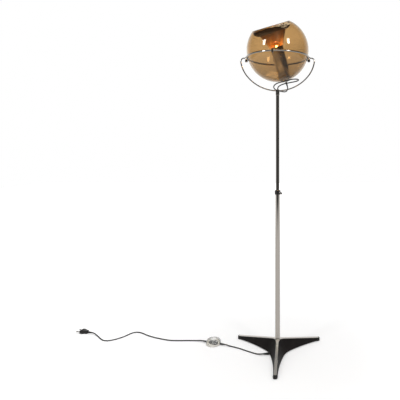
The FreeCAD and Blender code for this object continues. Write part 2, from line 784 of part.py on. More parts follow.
def lampholder():
    """Lampholder on the nipple, its socket closed round the lamp's cap."""
    inner = CAP_R + SEAT_GAP
    return turned([(NIPPLE_R + SEAT_GAP, HOLDER_LOW), (HOLDER_R - 6, HOLDER_LOW),
                   (HOLDER_R, HOLDER_LOW + 6), (HOLDER_R, HOLDER_TOP - 1),
                   (HOLDER_R - 1, HOLDER_TOP), (inner, HOLDER_TOP),
                   (inner, CAP_LOW - 0.5), (NIPPLE_R + SEAT_GAP, CAP_LOW - 0.5)])


def lamp_cap():
    return turned([(0, CAP_LOW), (4, CAP_LOW), (8, CAP_LOW + 3), (CAP_R, CAP_LOW + 5),
                   (CAP_R, CAP_TOP), (0, CAP_TOP)])


def bulb():
    """Round bulb with its neck in the cap."""
    neck = CAP_R - 0.6
    meet = BULB_Z - math.sqrt(BULB_R ** 2 - (neck + 1.2) ** 2)
    side = V(BULB_R, 0, BULB_Z)
    return lathe([line(V(0, 0, CAP_TOP), V(neck, 0, CAP_TOP)),
                  line(V(neck, 0, CAP_TOP), V(neck + 1.2, 0, meet)),
                  arc(V(neck + 1.2, 0, meet), side, V(0, 0, BULB_Z + BULB_R)),
                  line(V(0, 0, BULB_Z + BULB_R), V(0, 0, CAP_TOP))])


# ---------------------------------------------------------------- foot switch and plug
SWITCH_AT = V(SWITCH_X, SWITCH_Y)
SWITCH_DIR = polar(1, SWITCH_TURN)


def on_switch(shape):
    shape.rotate(V(0, 0), Z, SWITCH_TURN)
    shape.translate(SWITCH_AT)
    return shape


def switch_end(way, reach, z=SWITCH_EXIT_Z):
    """A point on the cord's line through the switch, on either side of it."""
    return SWITCH_AT + SWITCH_DIR * (way * reach) + V(0, 0, z)


def switch_base():
    h = SWITCH_BASE_H
    tray = turned([(0, 0), (SWITCH_R - 1.5, 0), (SWITCH_R, 1.5), (SWITCH_R, h),
                   (SWITCH_R - SWITCH_WALL, h), (SWITCH_R - SWITCH_WALL, 2.5), (0, 2.5)])
    bore = rod_between(V(-SWITCH_R - 5, 0, SWITCH_EXIT_Z), V(SWITCH_R + 5, 0, SWITCH_EXIT_Z),
                       CORD_R + SEAT_GAP)
    return on_switch(tray.cut(bore))


def switch_cover():
    """Clear domed cover, open in the middle for the button."""
    low = SWITCH_BASE_H
    top = SWITCH_H
    hole = BUTTON_R + BODY_GAP
    w = SWITCH_WALL

    def skin(d):
        r = SWITCH_R - d
        return [V(r, 0, low), V(r, 0, low + 3), V(r - 3, 0, top - d - 2.6),
                V(r - 10, 0, top - d)]
    a = skin(0)
    b = skin(w)
    rise = V(hole, 0, top)
    rise_in = V(hole, 0, top - w)
    mid_a = V(SWITCH_R - 0.7, 0, low + 6)
    mid_b = V(SWITCH_R - w - 0.7, 0, low + 5.4)
    edges = [line(a[0], a[1]), arc(a[1], mid_a, a[2]),
             arc(a[2], V(SWITCH_R - 6, 0, top - 0.85), a[3]), line(a[3], rise),
             line(rise, rise_in), line(rise_in, b[3]),
             arc(b[3], V(SWITCH_R - w - 6, 0, top - w - 0.85), b[2]),
             arc(b[2], mid_b, b[1]), line(b[1], b[0]), line(b[0], a[0])]
    return on_switch(lathe(edges))


def switch_block():
    """Contact block on the tray, between the two cord ends."""
    block = Part.makeBox(24, 20, 9.0, V(-12, -10, 2.5))
    ends = [Part.makeBox(7, 14, 6.0, V(x, -7, 2.5)) for x in (-18, 11)]
    posts = [cyl(1.8, 8.0, 9.8, V(x, y)) for x in (-15, 15) for y in (-4, 4)]
    return on_switch(block.fuse(ends + posts))


def switch_button():
    top = SWITCH_H + BUTTON_PROUD
    low = SWITCH_H - 3.5
    body = turned([(0, low), (BUTTON_R, low), (BUTTON_R, top - 1.2), (BUTTON_R - 1.2, top),
                   (0, top)])
    return on_switch(body)


# The end of the floor cord, and the way the plug lies
PLUG_REAR = V(-837.6, 148.4)
PLUG_DIR = unit(V(-0.963, 0.270))
PLUG_Z = PLUG_T / 2 + FLOOR_LIE


def in_plug(shape):
    shape.rotate(V(0, 0), Z, math.degrees(math.atan2(PLUG_DIR.y, PLUG_DIR.x)))
    shape.translate(PLUG_REAR + V(0, 0, PLUG_Z))
    return shape


def plug_body():
    """Flat two-pin plug: narrow at the cord, full width at the pins, waisted between."""
    w, n, t = PLUG_W / 2, PLUG_REAR_W / 2, PLUG_T / 2
    half = [V(0, n), V(8, n), V(14, n + 1.5), V(20, w), V(PLUG_LEN - 1.5, w), V(PLUG_LEN, w - 1.5)]
    pts = half + [V(p.x, -p.y) for p in reversed(half)]
    face = Part.Face(Part.makePolygon(pts + pts[:1]))
    slab = face.extrude(V(0, 0, PLUG_T))
    slab.translate(V(0, 0, -t))
    rim = [e for e in slab.Edges if abs(abs(e.BoundBox.ZMin) - t) < 1e-6
           and e.BoundBox.ZLength < 1e-6]
    return in_plug(slab.makeChamfer(1.8, rim))


def plug_pin(side):
    a = V(PLUG_LEN, side * PIN_SPACE / 2, 0)
    body = rod_between(a, a + V(PIN_LEN - 1.2, 0, 0), PIN_R)
    nose = cone_between(a + V(PIN_LEN - 1.2, 0, 0), a + V(PIN_LEN, 0, 0), PIN_R, PIN_R - 1.0)
    return in_plug(body.fuse(nose))


# ---------------------------------------------------------------- cord routes
LIE = CORD_R + FLOOR_LIE


def lies(x, y):
    return V(x, y, LIE)


GLAND_END = globe_point(RELIEF_LOW)
HEAD_ROUTE = [GLAND_END, GLAND_END + LEAN.multVec(V(0, 0, -6)),
              V(41, 48.8, 1059.6), V(36.3, 49.3, 1054.1), V(29.6, 48.7, 1051.4),
              V(18, 46.1, 1052.6), V(4, 32, 1052.5), V(-9, 21, 1056), V(-16, 6, 1061.5),
              V(-15, -10, 1068), V(-5, -24, 1073.5), V(10, -34, 1077), V(28, -41, 1081),
              V(48, -44, 1085.5), V(66, -41, 1088.5), V(79, -32, 1089.5), V(84.5, -19, 1089),
              V(81, -7, 1087.5), V(70, 1, 1085.5), V(54, 5.5, 1083.5), V(38, 7.5, 1080.5),
              V(24, 8.5, 1077.5), V(12, 8, 1073), V(3.5, 4.5, 1066.5), V(0, 0, FERRULE_TOP + 5.5),
              V(0, 0, FERRULE_LOW + FERRULE_SEAT)]

EXIT_END = EXIT + EXIT_DIR * (6 + RELIEF_LEN)
BASE_ROUTE = [V(0, 0, LOWER_LOW + 8), V(0, 0, LOWER_LOW - 5), V(-1.5, -5, 9.5),
              V(-4, -13, 6), V(-8.5, -22.5, EXIT.z), EXIT - EXIT_DIR * 16, EXIT - EXIT_DIR * 4]

FLOOR_A = [EXIT_END, EXIT_END + EXIT_DIR * 9, V(-79, -31.5, 2.8), lies(-91, -25.5),
           lies(-104, -18), lies(-127, -4.5), lies(-152, 12), lies(-178, 25),
           switch_end(-1, SWITCH_R + RELIEF_LEN + 22, 2.8),
           switch_end(-1, SWITCH_R + RELIEF_LEN + 10), switch_end(-1, SWITCH_R + RELIEF_LEN)]

FLOOR_B = [switch_end(1, SWITCH_R + RELIEF_LEN), switch_end(1, SWITCH_R + RELIEF_LEN + 10),
           switch_end(1, SWITCH_R + RELIEF_LEN + 23, 2.8), lies(-356, 80), lies(-384, 80.5),
           lies(-421, 79.5), lies(-452, 80.5),
           lies(-480, 88), lies(-512, 100), lies(-545, 114), lies(-575, 132), lies(-597, 148),
           lies(-611, 155.5), lies(-628, 157), lies(-643, 149.5), lies(-654, 132),
           lies(-667, 112), lies(-686, 95), lies(-706, 82), lies(-724, 77), lies(-741, 82),
           lies(-757, 95), lies(-774, 113), V(-790, 128, 3.6),
           PLUG_REAR - PLUG_DIR * (RELIEF_LEN + 12) + V(0, 0, PLUG_Z),
           PLUG_REAR - PLUG_DIR * RELIEF_LEN + V(0, 0, PLUG_Z)]


def exit_relief():
    """Rubber relief in the casting's notch, tapering to the cord."""
    inner = EXIT - EXIT_DIR * 4
    flange = EXIT + EXIT_DIR * 6
    body = rod_between(inner, flange, EXIT_R)
    return body.fuse(relief(flange, EXIT_END))


# ---------------------------------------------------------------- pieces
NODES = {}


def add(name, shape):
    NODES[name] = shape


add("base_casting", casting())
add("ridge_plate", ridge_plate())
for index, word in enumerate(("front", "right", "left")):
    add("foot_" + word, foot(index))
add("stem_washer", pipe(WASHER_R, LOWER_R + SEAT_GAP, BOSS_LOW - WASHER_T, BOSS_LOW))
nut_top = BOSS_LOW - WASHER_T
add("stem_nut", hexagon(NUT_AF, nut_top - NUT_H, nut_top).cut(
    cyl(LOWER_R + SEAT_GAP, nut_top - NUT_H - 1, nut_top + 1)))
add("lower_tube", lower_tube())
add("stem_foot_bush", pipe(LOWER_R - LOWER_WALL, CORD_R + SEAT_GAP, LOWER_LOW, LOWER_LOW + 8))
add("stem_liner", stem_liner())
add("collar", collar())
add("collar_screw", collar_screw())
add("slider", slider())
add("tube_end", tube_end())
add("slider_ring", slider_ring())
add("upper_tube", upper_tube())
add("ferrule", ferrule())
add("ferrule_bush", ferrule_bush())
for side, word in ((-1, "left"), (1, "right")):
    add("yoke_" + word, yoke(side))
    add("pivot_barrel_" + word, barrel(side))
    add("pivot_screw_" + word, pivot_screw(side))
    add("clamp_lug_" + word, lug(side))
ring_back = ring_arc(STOP_TURN, 180 - STOP_TURN)
ring_left = ring_arc(180 + STOP_TURN, 360 + CLAMP_AT - LUG_TURN)
ring_right = ring_arc(360 + CLAMP_AT + LUG_TURN, 360 - STOP_TURN)
for name, rod in (("ring_back", ring_back), ("ring_left", ring_left),
                  ("ring_right", ring_right)):
    for at in (-BARREL_X, BARREL_X):
        rod = rod.cut(cyl(BARREL_R, RING_Z - 20, RING_Z + 20, V(at, 0)))
    add(name, rod)
for up, word in ((1, "upper"), (-1, "lower")):
    add("clamp_screw_" + word, clamp_screw(up))
add("globe_glass", in_globe(globe_glass()))
add("gasket_under", in_globe(ball_layer(GLOBE_R, GLOBE_R + GASKET_T, GASKET_IN, GASKET_OUT)))
add("globe_disc", in_globe(ball_layer(GLOBE_R + GASKET_T, UNDER_R, NIPPLE_R + SEAT_GAP, DISC_R)))
add("gasket_inside", in_globe(ball_layer(SEAT_R + SEAT_GAP, GLOBE_INNER, GASKET_IN, GASKET_OUT)))
add("tube_foot", in_globe(tube_foot()))
add("lamp_tube", in_globe(lamp_tube()))
add("reflector", in_globe(reflector()))
add("gland", in_globe(gland()))
add("globe_relief", relief(globe_point(GLAND_LOW), GLAND_END))
add("nipple", in_globe(nipple()))
add("nipple_nut", in_globe(nipple_nut()))
add("lampholder", in_globe(lampholder()))
add("lamp_cap", in_globe(lamp_cap()))
add("bulb", in_globe(bulb()))
add("head_cord", cord("head_cord", HEAD_ROUTE))
add("base_cord", cord("base_cord", BASE_ROUTE))
add("exit_relief", exit_relief())
add("floor_cord_a", cord("floor_cord_a", FLOOR_A))
add("floor_cord_b", cord("floor_cord_b", FLOOR_B))
add("switch_base", switch_base())
add("switch_cover", switch_cover())
add("switch_block", switch_block())
add("switch_button", switch_button())
for way, word in ((-1, "in"), (1, "out")):
    add("switch_relief_" + word, relief(switch_end(way, SWITCH_R),
                                        switch_end(way, SWITCH_R + RELIEF_LEN)))
add("plug_body", plug_body())
add("plug_relief", relief(PLUG_REAR + V(0, 0, PLUG_Z),
                          PLUG_REAR - PLUG_DIR * RELIEF_LEN + V(0, 0, PLUG_Z)))
add("plug_pin_a", plug_pin(1))
add("plug_pin_b", plug_pin(-1))

os.makedirs("parts", exist_ok=True)
for name, shape in NODES.items():
    box = shape.BoundBox
    flag = "" if shape.isValid() and shape.Volume > 0 else "  INVALID"
    print("%-18s solids %d volume %10.1f  z %7.2f to %7.2f%s" % (
        name, len(shape.Solids), shape.Volume, box.ZMin, box.ZMax, flag))
    shape.exportStep("parts/%s.step" % name)
print(len(NODES), "pieces")
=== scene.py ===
import math

import bmesh
import bpy
from mathutils import Matrix, Vector


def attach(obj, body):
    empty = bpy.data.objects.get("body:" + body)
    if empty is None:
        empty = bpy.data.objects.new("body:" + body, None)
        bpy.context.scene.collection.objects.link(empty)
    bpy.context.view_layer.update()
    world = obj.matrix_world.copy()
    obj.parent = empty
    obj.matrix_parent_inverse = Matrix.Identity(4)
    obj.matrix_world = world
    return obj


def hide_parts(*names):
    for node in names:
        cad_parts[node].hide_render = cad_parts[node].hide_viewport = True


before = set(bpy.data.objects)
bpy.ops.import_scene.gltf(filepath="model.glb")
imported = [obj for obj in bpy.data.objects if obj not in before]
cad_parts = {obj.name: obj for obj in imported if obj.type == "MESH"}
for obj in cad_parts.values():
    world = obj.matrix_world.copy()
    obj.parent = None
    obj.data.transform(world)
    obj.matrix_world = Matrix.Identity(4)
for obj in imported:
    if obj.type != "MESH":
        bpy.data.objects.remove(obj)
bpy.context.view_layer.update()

bl_info = {
    "name": "Ring globe floor lamp",
    "version": (1, 0, 0),
    "blender": (4, 5, 0),
    "location": "View3D > Sidebar > Floor lamp",
    "description": "Finishes, cords and fine pieces of a floor lamp with an open glass globe",
    "category": "Object",
}

# Where the globe stands and how it leans: its own frame has the mouth at the top
GLOBE_FRAME = (Matrix.Translation((0, 0, 1.210))
               @ Matrix.Rotation(math.radians(-16.5), 4, "Y")
               @ Matrix.Rotation(math.radians(17.5), 4, "X"))
GLOBE_AXIS = (GLOBE_FRAME.to_3x3() @ Vector((0, 0, 1))).normalized()

# Control points of the cords' centrelines, metres
HEAD_ROUTE = [
    (0.0409, 0.0454, 1.0719), (0.0425, 0.0472, 1.0664), (0.0410, 0.0488, 1.0596),
    (0.0363, 0.0493, 1.0541), (0.0296, 0.0487, 1.0514), (0.0180, 0.0461, 1.0526),
    (0.0040, 0.0320, 1.0525), (-0.0090, 0.0210, 1.0560), (-0.0160, 0.0060, 1.0615),
    (-0.0150, -0.0100, 1.0680), (-0.0050, -0.0240, 1.0735), (0.0100, -0.0340, 1.0770),
    (0.0280, -0.0410, 1.0810), (0.0480, -0.0440, 1.0855), (0.0660, -0.0410, 1.0885),
    (0.0790, -0.0320, 1.0895), (0.0845, -0.0190, 1.0890), (0.0810, -0.0070, 1.0875),
    (0.0700, 0.0010, 1.0855), (0.0540, 0.0055, 1.0835), (0.0380, 0.0075, 1.0805),
    (0.0240, 0.0085, 1.0775), (0.0120, 0.0080, 1.0730), (0.0035, 0.0045, 1.0665),
    (0.0000, 0.0000, 1.0585), (0.0000, 0.0000, 1.0440)]
BASE_ROUTE = [
    (0.0000, 0.0000, 0.0295), (0.0000, 0.0000, 0.0165), (-0.0015, -0.0050, 0.0095),
    (-0.0040, -0.0130, 0.0060), (-0.0085, -0.0225, 0.0052), (-0.0161, -0.0297, 0.0052),
    (-0.0280, -0.0311, 0.0052)]
FLOOR_TO_SWITCH = [
    (-0.0578, -0.0347, 0.0052), (-0.0668, -0.0358, 0.0052), (-0.0790, -0.0315, 0.0028),
    (-0.0910, -0.0255, 0.0023), (-0.1040, -0.0180, 0.0023), (-0.1270, -0.0045, 0.0023),
    (-0.1520, 0.0120, 0.0023), (-0.1780, 0.0250, 0.0023), (-0.1995, 0.0338, 0.0028),
    (-0.2109, 0.0375, 0.0055), (-0.2204, 0.0405, 0.0055)]
FLOOR_TO_PLUG = [
    (-0.3156, 0.0715, 0.0055), (-0.3251, 0.0745, 0.0055), (-0.3374, 0.0786, 0.0028),
    (-0.3560, 0.0800, 0.0023), (-0.3840, 0.0805, 0.0023), (-0.4210, 0.0795, 0.0023),
    (-0.4520, 0.0805, 0.0023), (-0.4800, 0.0880, 0.0023), (-0.5120, 0.1000, 0.0023),
    (-0.5450, 0.1140, 0.0023), (-0.5750, 0.1320, 0.0023), (-0.5970, 0.1480, 0.0023),
    (-0.6110, 0.1555, 0.0023), (-0.6280, 0.1570, 0.0023), (-0.6430, 0.1495, 0.0023),
    (-0.6540, 0.1320, 0.0023), (-0.6670, 0.1120, 0.0023), (-0.6860, 0.0950, 0.0023),
    (-0.7060, 0.0820, 0.0023), (-0.7240, 0.0770, 0.0023), (-0.7410, 0.0820, 0.0023),
    (-0.7570, 0.0950, 0.0023), (-0.7740, 0.1130, 0.0023), (-0.7900, 0.1280, 0.0036),
    (-0.8068, 0.1398, 0.0068), (-0.8183, 0.1430, 0.0068)]

SOFTBOX_AIM = Vector((0, 0, 1.15))
SWITCH_CENTRE = (-0.268, 0.056, 0.0)

# Outlines of turned pieces, (radius, height), metres
BUTTON_OUTLINE = [
    (0.0, 0.0165), (0.0110, 0.0165), (0.0110, 0.0207), (0.0106, 0.0216), (0.0098, 0.0220),
    (0.0090, 0.0220), (0.0086, 0.0215), (0.0076, 0.0215), (0.0072, 0.0220), (0.0064, 0.0220),
    (0.0060, 0.0215), (0.0050, 0.0215), (0.0046, 0.0219), (0.0, 0.0220)]
GLIDE_OUTLINE = [
    (0.0, 0.0), (0.0074, 0.0), (0.0086, 0.0008), (0.0091, 0.0020), (0.0091, 0.0042),
    (0.0084, 0.0054), (0.0, 0.0056)]

FIRST_LEG = -92.6       # degrees; the others follow at 120
# The nose on each leg's end: its box, where it lies along the leg, and where its front is
NOSE_SIZE = (0.0160, 0.0168, 0.0118)
NOSE_CENTRE = (0.1920, 0.0, 0.0062)
NOSE_FRONT = NOSE_CENTRE[0] + NOSE_SIZE[0] / 2
NOSE_ROUND = 0.0069
GLIDE_REACH = 0.1885

# The plug: where its strain relief meets it, which way it points, and its outline from
# above, (half width, distance from that start)
PLUG_START = Vector((-0.8376, 0.1484, 0.00685))
PLUG_WAY = Vector((-0.96287, 0.26996, 0))
PLUG_HALF_DEPTH = 0.0067
PLUG_OUTLINE = [
    (0.0071, 0.0), (0.0071, 0.008), (0.0086, 0.014), (0.01275, 0.020), (0.01275, 0.0335),
    (0.01125, 0.035)]

# The wires are a little darker than the stem's plating. The ring's back arc is darker again:
# painted shade, set to match the photograph from the front, since all three arcs of the ring
# are really the same chrome.
WIRE_SHADE = 0.72
# Painted shade: how much darker the ring's back arc is than the chrome
RING_BACK_PAINTED_SHADE = 0.40


# ---------------------------------------------------------------- settings
class LampStageSettings(bpy.types.PropertyGroup):
    eye: bpy.props.FloatVectorProperty(
        name="Camera", description="Place of the camera, which looks level and straight back",
        default=(0.0, -1.57365, 0.80175), size=3, subtype="TRANSLATION", unit="LENGTH")
    lens: bpy.props.FloatProperty(
        name="Lens", description="Focal length on a 36 mm sensor", default=35.1, min=10,
        unit="CAMERA")
    shift: bpy.props.FloatVectorProperty(
        name="Shift", description="Camera shift that frames the lamp", size=2,
        default=(-0.194, -0.12))
    floor_colour: bpy.props.FloatVectorProperty(
        name="Floor", description="Colour of the floor", default=(0.93, 0.93, 0.93), size=3,
        subtype="COLOR", min=0, max=1)
    box_power: bpy.props.FloatProperty(
        name="Front softboxes", description="Power of each softbox in front", default=11.0,
        min=0, unit="POWER")
    top_power: bpy.props.FloatProperty(
        name="Top softbox", description="Power of the softbox overhead", default=52.0, min=0,
        unit="POWER")
    strip_power: bpy.props.FloatProperty(
        name="Top strip", description="Power of the strip that draws a line on the chrome",
        default=3.0, min=0, unit="POWER")
    sky: bpy.props.FloatProperty(
        name="Room light", description="Strength of the room's even light", default=0.42,
        min=0)
    floor_lift: bpy.props.FloatProperty(
        name="Floor lift", description="White added to the floor where the camera sees it",
        default=0.10, min=0, max=1)


class LampGlobeSettings(bpy.types.PropertyGroup):
    radius: bpy.props.FloatProperty(
        name="Radius", description="Outer radius of the globe", default=0.125, unit="LENGTH")
    wall: bpy.props.FloatProperty(
        name="Glass", description="Thickness of the glass", default=0.0026, unit="LENGTH")
    mouth: bpy.props.FloatProperty(
        name="Mouth", description="Radius of the open mouth", default=0.0753, unit="LENGTH")
    hole: bpy.props.FloatProperty(
        name="Hole", description="Radius of the hole for the fitting", default=0.012,
        unit="LENGTH")
    tint_high: bpy.props.FloatVectorProperty(
        name="Upper tint", description="What one wall lets through near the mouth",
        default=(0.755, 0.575, 0.355), size=3, subtype="COLOR", min=0, max=1)
    tint_low: bpy.props.FloatVectorProperty(
        name="Lower tint", description="What one wall lets through near the foot",
        default=(0.52, 0.39, 0.235), size=3, subtype="COLOR", min=0, max=1)


class LampBulbSettings(bpy.types.PropertyGroup):
    radius: bpy.props.FloatProperty(
        name="Radius", description="Radius of the round bulb", default=0.0225, unit="LENGTH")
    height: bpy.props.FloatProperty(
        name="Height", description="Centre of the bulb above the globe's centre",
        default=0.018, unit="LENGTH")
    glow: bpy.props.FloatProperty(
        name="Filament", description="Strength of the lit filament", default=1500.0, min=0)
    power: bpy.props.FloatProperty(
        name="Power", description="Power of the light that the bulb gives", default=1.15,
        min=0, unit="POWER")
    colour: bpy.props.FloatVectorProperty(
        name="Light", description="Colour of the lit filament", default=(1.0, 0.62, 0.26),
        size=3, subtype="COLOR", min=0, max=1)


class LampMetalSettings(bpy.types.PropertyGroup):
    chrome: bpy.props.FloatVectorProperty(
        name="Chrome", description="Colour of the polished plating",
        default=(0.87, 0.81, 0.74), size=3, subtype="COLOR", min=0, max=1)
    steel: bpy.props.FloatVectorProperty(
        name="Steel", description="Colour of the brushed steel ridge",
        default=(0.74, 0.71, 0.665), size=3, subtype="COLOR", min=0, max=1)
    iron: bpy.props.FloatVectorProperty(
        name="Iron", description="Colour of the black paint on the casting",
        default=(0.011, 0.0085, 0.008), size=3, subtype="COLOR", min=0, max=1)


class LampCordSettings(bpy.types.PropertyGroup):
    diameter: bpy.props.FloatProperty(
        name="Diameter", description="Diameter of the round cord", default=0.0045,
        unit="LENGTH")
    colour: bpy.props.FloatVectorProperty(
        name="Jacket", description="Colour of the cord's jacket",
        default=(0.016, 0.013, 0.012), size=3, subtype="COLOR", min=0, max=1)


# ---------------------------------------------------------------- materials
def new_finish(name, **sockets):
    """A Principled surface, with its plain values on its own sockets."""
    material = bpy.data.materials.new(name)
    material.use_nodes = True
    tree = material.node_tree
    shader = tree.nodes["Principled BSDF"]
    for socket, value in sockets.items():
        shader.inputs[socket.replace("_", " ")].default_value = value
    return material, tree, shader


def rgba(colour, factor=1.0):
    return tuple(min(1.0, c * factor) for c in colour[:3]) + (1.0,)


def put(tree, kind, *links, **values):
    """A node of that kind; links go to its first inputs, capitalised values to sockets."""
    node = tree.nodes.new("ShaderNode" + kind)
    for key, value in values.items():
        if key[0].isupper():
            node.inputs[key.replace("_", " ")].default_value = value
        else:
            setattr(node, key, value)
    for socket, source in zip(node.inputs, links):
        if source is not None:
            tree.links.new(source, socket)
    return node


def grain(tree, scale, detail=3.0, rough=0.55, where=None):
    """Noise over the piece's own coordinates, unless others are given."""
    where = where or put(tree, "TexCoord").outputs["Object"]
    noise = put(tree, "TexNoise", where, Scale=scale, Detail=detail, Roughness=rough)
    return noise.outputs["Fac"]


def span(tree, value, low, high, start=0.3, end=0.7):
    """A value from start to end, mapped to low to high."""
    return put(tree, "MapRange", value, From_Min=start, From_Max=end, To_Min=low,
               To_Max=high).outputs["Result"]


def blend_colours(tree, factor, first, second):
    node = put(tree, "Mix", data_type="RGBA")
    tree.links.new(factor, node.inputs[0])
    # Sockets 6 and 7 are the two colours of a Mix node set to RGBA
    node.inputs[6].default_value = first
    node.inputs[7].default_value = second
    return node.outputs[2]


def relief_of(tree, shader, height, strength, depth):
    """A bump of that depth in metres."""
    bump = put(tree, "Bump", Strength=strength, Distance=depth)
    tree.links.new(height, bump.inputs["Height"])
    tree.links.new(bump.outputs["Normal"], shader.inputs["Normal"])


def polished(name, colour, roughness=0.05, smudge=0.05, metallic=1.0):
    """Polished plate with faint smudges."""
    material, tree, shader = new_finish(name, Base_Color=rgba(colour), Metallic=metallic)
    marks = grain(tree, 42.0, detail=6.0, rough=0.6)
    tree.links.new(span(tree, marks, roughness, roughness + smudge, 0.35, 0.75),
                   shader.inputs["Roughness"])
    return material


def painted_iron(colour):
    """Satin black paint over a sand casting."""
    material, tree, shader = new_finish("black iron paint", Specular_IOR_Level=0.3)
    cloud = grain(tree, 26.0, detail=5.0)
    tree.links.new(blend_colours(tree, span(tree, cloud, 0.0, 1.0), rgba(colour, 0.75),
                                 rgba(colour, 1.45)), shader.inputs["Base Color"])
    tree.links.new(span(tree, grain(tree, 160.0), 0.44, 0.58), shader.inputs["Roughness"])
    relief_of(tree, shader, grain(tree, 900.0, detail=2.0), 0.35, 0.00012)
    return material


def brushed_steel(colour):
    """Steel brushed outwards from the stem along each leg."""
    material, tree, shader = new_finish("brushed steel", Metallic=1.0)
    coordinates = put(tree, "TexCoord")
    axes = put(tree, "SeparateXYZ", coordinates.outputs["Object"])
    turn = put(tree, "Math", axes.outputs["Y"], axes.outputs["X"], operation="ARCTAN2")
    flat = put(tree, "CombineXYZ", axes.outputs["X"], axes.outputs["Y"])
    reach = put(tree, "VectorMath", flat.outputs["Vector"], operation="LENGTH")
    strokes = put(tree, "CombineXYZ", turn.outputs["Value"], reach.outputs["Value"])
    stretched = put(tree, "Mapping", strokes.outputs["Vector"])
    stretched.inputs["Scale"].default_value = (260.0, 26.0, 1.0)
    lines = grain(tree, 2.0, detail=4.0, rough=0.7, where=stretched.outputs["Vector"])
    tree.links.new(blend_colours(tree, span(tree, lines, 0.0, 1.0), rgba(colour, 0.86),
                                 rgba(colour, 1.08)), shader.inputs["Base Color"])
    tree.links.new(span(tree, lines, 0.26, 0.40), shader.inputs["Roughness"])
    relief_of(tree, shader, lines, 0.25, 0.00004)
    return material


def moulded(name, colour, roughness=0.45, fine=700.0, depth=0.00008, coat=0.0):
    """Moulded plastic or rubber with a fine, even grain."""
    material, tree, shader = new_finish(name, Coat_Weight=coat)
    cloud = grain(tree, 55.0, detail=4.0)
    tree.links.new(blend_colours(tree, span(tree, cloud, 0.0, 1.0), rgba(colour, 0.85),
                                 rgba(colour, 1.2)), shader.inputs["Base Color"])
    tree.links.new(span(tree, grain(tree, 210.0), roughness - 0.06, roughness + 0.06),
                   shader.inputs["Roughness"])
    relief_of(tree, shader, grain(tree, fine, detail=2.0), 0.3, depth)
    return material


def unmirrored(tree, path):
    """1 for rays that haven't met a mirror yet."""
    node = put(tree, "Math", path.outputs["Glossy Depth"], operation="LESS_THAN")
    node.inputs[1].default_value = 0.5
    return node.outputs["Value"]


def lets_lamps_through(tree, shader, tint):
    """Glass that the lamps' rays pass through, tinted, instead of casting a black shadow."""
    path = put(tree, "LightPath")
    film = put(tree, "BsdfTransparent", Color=tint)
    both = put(tree, "MixShader", path.outputs["Is Shadow Ray"], shader.outputs["BSDF"],
               film.outputs["BSDF"])
    tree.links.new(both.outputs["Shader"],
                   tree.nodes["Material Output"].inputs["Surface"])


def smoked_glass(high, low):
    """Blown glass, amber grey, deeper towards the foot."""
    material, tree, shader = new_finish(
        "smoked glass", Roughness=0.0, IOR=1.5, Transmission_Weight=1.0)
    coordinates = put(tree, "TexCoord")
    away = put(tree, "VectorMath", coordinates.outputs["Object"], operation="SUBTRACT")
    away.inputs[1].default_value = GLOBE_FRAME.translation
    rise = put(tree, "VectorMath", away.outputs["Vector"], operation="DOT_PRODUCT")
    rise.inputs[1].default_value = GLOBE_AXIS
    tint = blend_colours(tree, span(tree, rise.outputs["Value"], 0.0, 1.0, -0.11, 0.03),
                         rgba(low), rgba(high))
    tree.links.new(tint, shader.inputs["Base Color"])
    lets_lamps_through(tree, shader, rgba([(a + b) / 2 for a, b in zip(high, low)]))
    return material


def clear_plastic():
    """Clear moulded cover, a little milky and scuffed."""
    material, tree, shader = new_finish(
        "clear moulded plastic", IOR=1.49, Transmission_Weight=0.96)
    cloud = grain(tree, 120.0, detail=5.0, rough=0.65)
    tree.links.new(blend_colours(tree, span(tree, cloud, 0.0, 1.0), (0.80, 0.80, 0.78, 1),
                                 (0.97, 0.97, 0.96, 1)), shader.inputs["Base Color"])
    tree.links.new(span(tree, cloud, 0.02, 0.14), shader.inputs["Roughness"])
    relief_of(tree, shader, grain(tree, 300.0), 0.15, 0.0001)
    lets_lamps_through(tree, shader, (0.88, 0.88, 0.87, 1))
    return material


def cover(material, *names):
    """Gives CAD nodes their finish."""
    for name in names:
        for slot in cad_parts[name].material_slots:
            slot.material = material


# ---------------------------------------------------------------- shapes
def settle(name, bm, material, body, slot, *nodes, crease=40.0):
    """Turns a bmesh into a finished piece that rides on a body and stands for CAD nodes."""
    mesh = bpy.data.meshes.new(name)
    bm.to_mesh(mesh)
    bm.free()
    mesh.materials.append(material)
    mesh.shade_smooth()
    mesh.set_sharp_from_angle(angle=math.radians(crease))
    piece = bpy.data.objects.new(name, mesh)
    bpy.context.scene.collection.objects.link(piece)
    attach(piece, body)
    if nodes:
        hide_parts(*nodes)
    return piece


def turned(profile, placing, steps=64):
    """A closed or open outline of (radius, height) turned right round the local Z axis."""
    bm = bmesh.new()
    verts = [bm.verts.new((r, 0.0, h)) for r, h in profile]
    edges = [bm.edges.new(pair) for pair in zip(verts, verts[1:])]
    bmesh.ops.spin(bm, geom=verts + edges, cent=(0, 0, 0), axis=(0, 0, 1),
                   angle=2 * math.pi, steps=steps, use_merge=True, use_duplicate=False)
    bmesh.ops.remove_doubles(bm, verts=bm.verts, dist=1e-6)
    bmesh.ops.recalc_face_normals(bm, faces=bm.faces)
    bmesh.ops.transform(bm, matrix=placing, verts=bm.verts)
    return bm


def bevelled(bm, edges, offset, segments):
    bmesh.ops.bevel(bm, geom=edges, offset=offset, segments=segments, profile=0.5,
                    affect="EDGES", material=-1)


def sharper(bm, degrees):
    """The edges where the surface turns by more than that."""
    return [e for e in bm.edges if e.calc_face_angle(0.0) > math.radians(degrees)]


def cut_flat(bm, height, up):
    """Takes off what lies beyond a level cut, above it (1) or below it (-1)."""
    bmesh.ops.bisect_plane(bm, geom=bm.verts[:] + bm.edges[:] + bm.faces[:],
                           plane_co=(0, 0, height), plane_no=(0, 0, up), clear_outer=True)


def new_verts(grown):
    return [g for g in grown["geom"] if isinstance(g, bmesh.types.BMVert)]


def along(start, end):
    """Frame at start whose Z axis points at end."""
    start, end = Vector(start), Vector(end)
    turn = (end - start).to_track_quat("Z", "Y").to_matrix().to_4x4()
    return Matrix.Translation(start) @ turn


